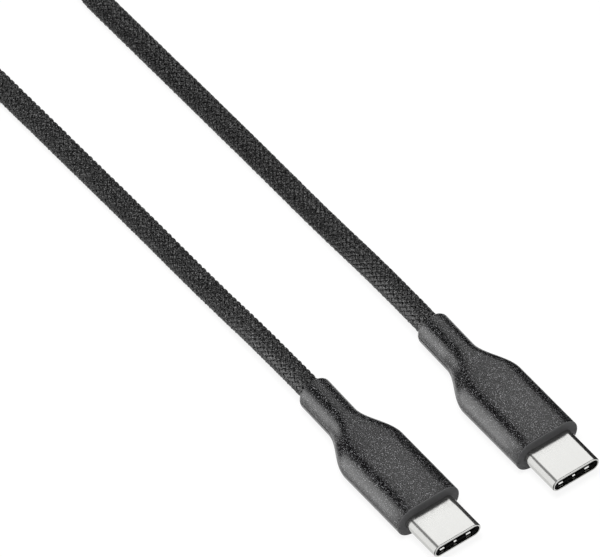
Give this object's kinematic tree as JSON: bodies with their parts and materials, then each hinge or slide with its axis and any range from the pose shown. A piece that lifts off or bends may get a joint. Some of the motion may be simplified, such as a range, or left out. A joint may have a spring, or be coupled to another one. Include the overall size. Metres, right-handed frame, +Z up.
{
  "type": "charging cable",
  "caption": "Braided charging cable with the same flat reversible plug at both ends, one lead lying beside the other and the rest wound into a coil.",
  "frame": {"origin": "on the table, under the middle of the box round the two plugs", "axes": "+X along the plugs towards their mouths, +Y across them from plug B to plug A, +Z up from the table"},
  "size_m": [0.1794, 0.056, 0.0074],
  "materials": {
    "overmould": "fine spark-eroded grain",
    "shell_steel": "polished stainless",
    "insulator": "moulded black",
    "contact_gilt": "gold plated",
    "spring_steel": "stamped, nickel plated",
    "circuit_board": "solder mask",
    "ceramic_chip": "fired ceramic with tinned ends",
    "core_insulation": "extruded",
    "shield_steel": "drawn tin plate",
    "inner_plastic": "moulded, milky",
    "ferrule_brass": "crimped",
    "cord_braid": "woven nylon braid"
  },
  "bodies": {
    "cable": {"plug_a_overmould": "overmould", "plug_a_shell": "shell_steel", "plug_a_contact_housing": "insulator", "plug_a_upper_contact_tails": "contact_gilt", "plug_a_lower_contact_tails": "contact_gilt", "plug_a_upper_ground_spring": "spring_steel", "plug_a_lower_ground_spring": "spring_steel", "plug_a_paddle_card": "circuit_board", "plug_a_bypass_capacitor": "ceramic_chip", "plug_a_core_wires": "core_insulation", "plug_a_rear_shield": "shield_steel", "plug_a_inner_mould": "inner_plastic", "plug_a_crimp_ferrule": "ferrule_brass", "plug_a_cable_end": "cord_braid", "plug_b_overmould": "overmould", "plug_b_shell": "shell_steel", "plug_b_contact_housing": "insulator", "plug_b_upper_contact_tails": "contact_gilt", "plug_b_lower_contact_tails": "contact_gilt", "plug_b_upper_ground_spring": "spring_steel", "plug_b_lower_ground_spring": "spring_steel", "plug_b_paddle_card": "circuit_board", "plug_b_bypass_capacitor": "ceramic_chip", "plug_b_core_wires": "core_insulation", "plug_b_rear_shield": "shield_steel", "plug_b_inner_mould": "inner_plastic", "plug_b_crimp_ferrule": "ferrule_brass", "plug_b_cable_end": "cord_braid", "cord_lead_a": "cord_braid", "cord_coil": "cord_braid", "cord_lead_b": "cord_braid"},
    "plug_a_upper_contact_springs": {"plug_a_upper_contact_springs": "contact_gilt"},
    "plug_a_lower_contact_springs": {"plug_a_lower_contact_springs": "contact_gilt"},
    "plug_a_right_latch": {"plug_a_right_latch": "spring_steel"},
    "plug_a_left_latch": {"plug_a_left_latch": "spring_steel"},
    "plug_b_upper_contact_springs": {"plug_b_upper_contact_springs": "contact_gilt"},
    "plug_b_lower_contact_springs": {"plug_b_lower_contact_springs": "contact_gilt"},
    "plug_b_right_latch": {"plug_b_right_latch": "spring_steel"},
    "plug_b_left_latch": {"plug_b_left_latch": "spring_steel"}
  },
  "joints": [
    {"name": "plug_a_upper_contacts_flex", "type": "hinge", "parent": "cable", "child": "plug_a_upper_contact_springs", "pos_m": [0.01117, 0.01025, 0.00321], "axis": [0, -1, 0], "range_deg": [0, 2.2], "stiffness_Nm_per_rad": 0.3},
    {"name": "plug_a_lower_contacts_flex", "type": "hinge", "parent": "cable", "child": "plug_a_lower_contact_springs", "pos_m": [0.01117, 0.01025, 0.00229], "axis": [0, 1, 0], "range_deg": [0, 2.2], "stiffness_Nm_per_rad": 0.22},
    {"name": "plug_a_right_latch_flex", "type": "hinge", "parent": "cable", "child": "plug_a_right_latch", "pos_m": [0.00877, 0.01385, 0.00275], "axis": [0, 0, 1], "range_deg": [0, 2.8], "stiffness_Nm_per_rad": 0.4},
    {"name": "plug_a_left_latch_flex", "type": "hinge", "parent": "cable", "child": "plug_a_left_latch", "pos_m": [0.00877, 0.00665, 0.00275], "axis": [0, 0, -1], "range_deg": [0, 2.8], "stiffness_Nm_per_rad": 0.4},
    {"name": "plug_b_upper_contacts_flex", "type": "hinge", "parent": "cable", "child": "plug_b_upper_contact_springs", "pos_m": [0.01057, -0.01025, 0.00321], "axis": [0, -1, 0], "range_deg": [0, 2.2], "stiffness_Nm_per_rad": 0.3},
    {"name": "plug_b_lower_contacts_flex", "type": "hinge", "parent": "cable", "child": "plug_b_lower_contact_springs", "pos_m": [0.01057, -0.01025, 0.00229], "axis": [0, 1, 0], "range_deg": [0, 2.2], "stiffness_Nm_per_rad": 0.22},
    {"name": "plug_b_right_latch_flex", "type": "hinge", "parent": "cable", "child": "plug_b_right_latch", "pos_m": [0.00817, -0.00665, 0.00275], "axis": [0, 0, 1], "range_deg": [0, 2.8], "stiffness_Nm_per_rad": 0.4},
    {"name": "plug_b_left_latch_flex", "type": "hinge", "parent": "cable", "child": "plug_b_left_latch", "pos_m": [0.00817, -0.01385, 0.00275], "axis": [0, 0, -1], "range_deg": [0, 2.8], "stiffness_Nm_per_rad": 0.4}
  ]
}
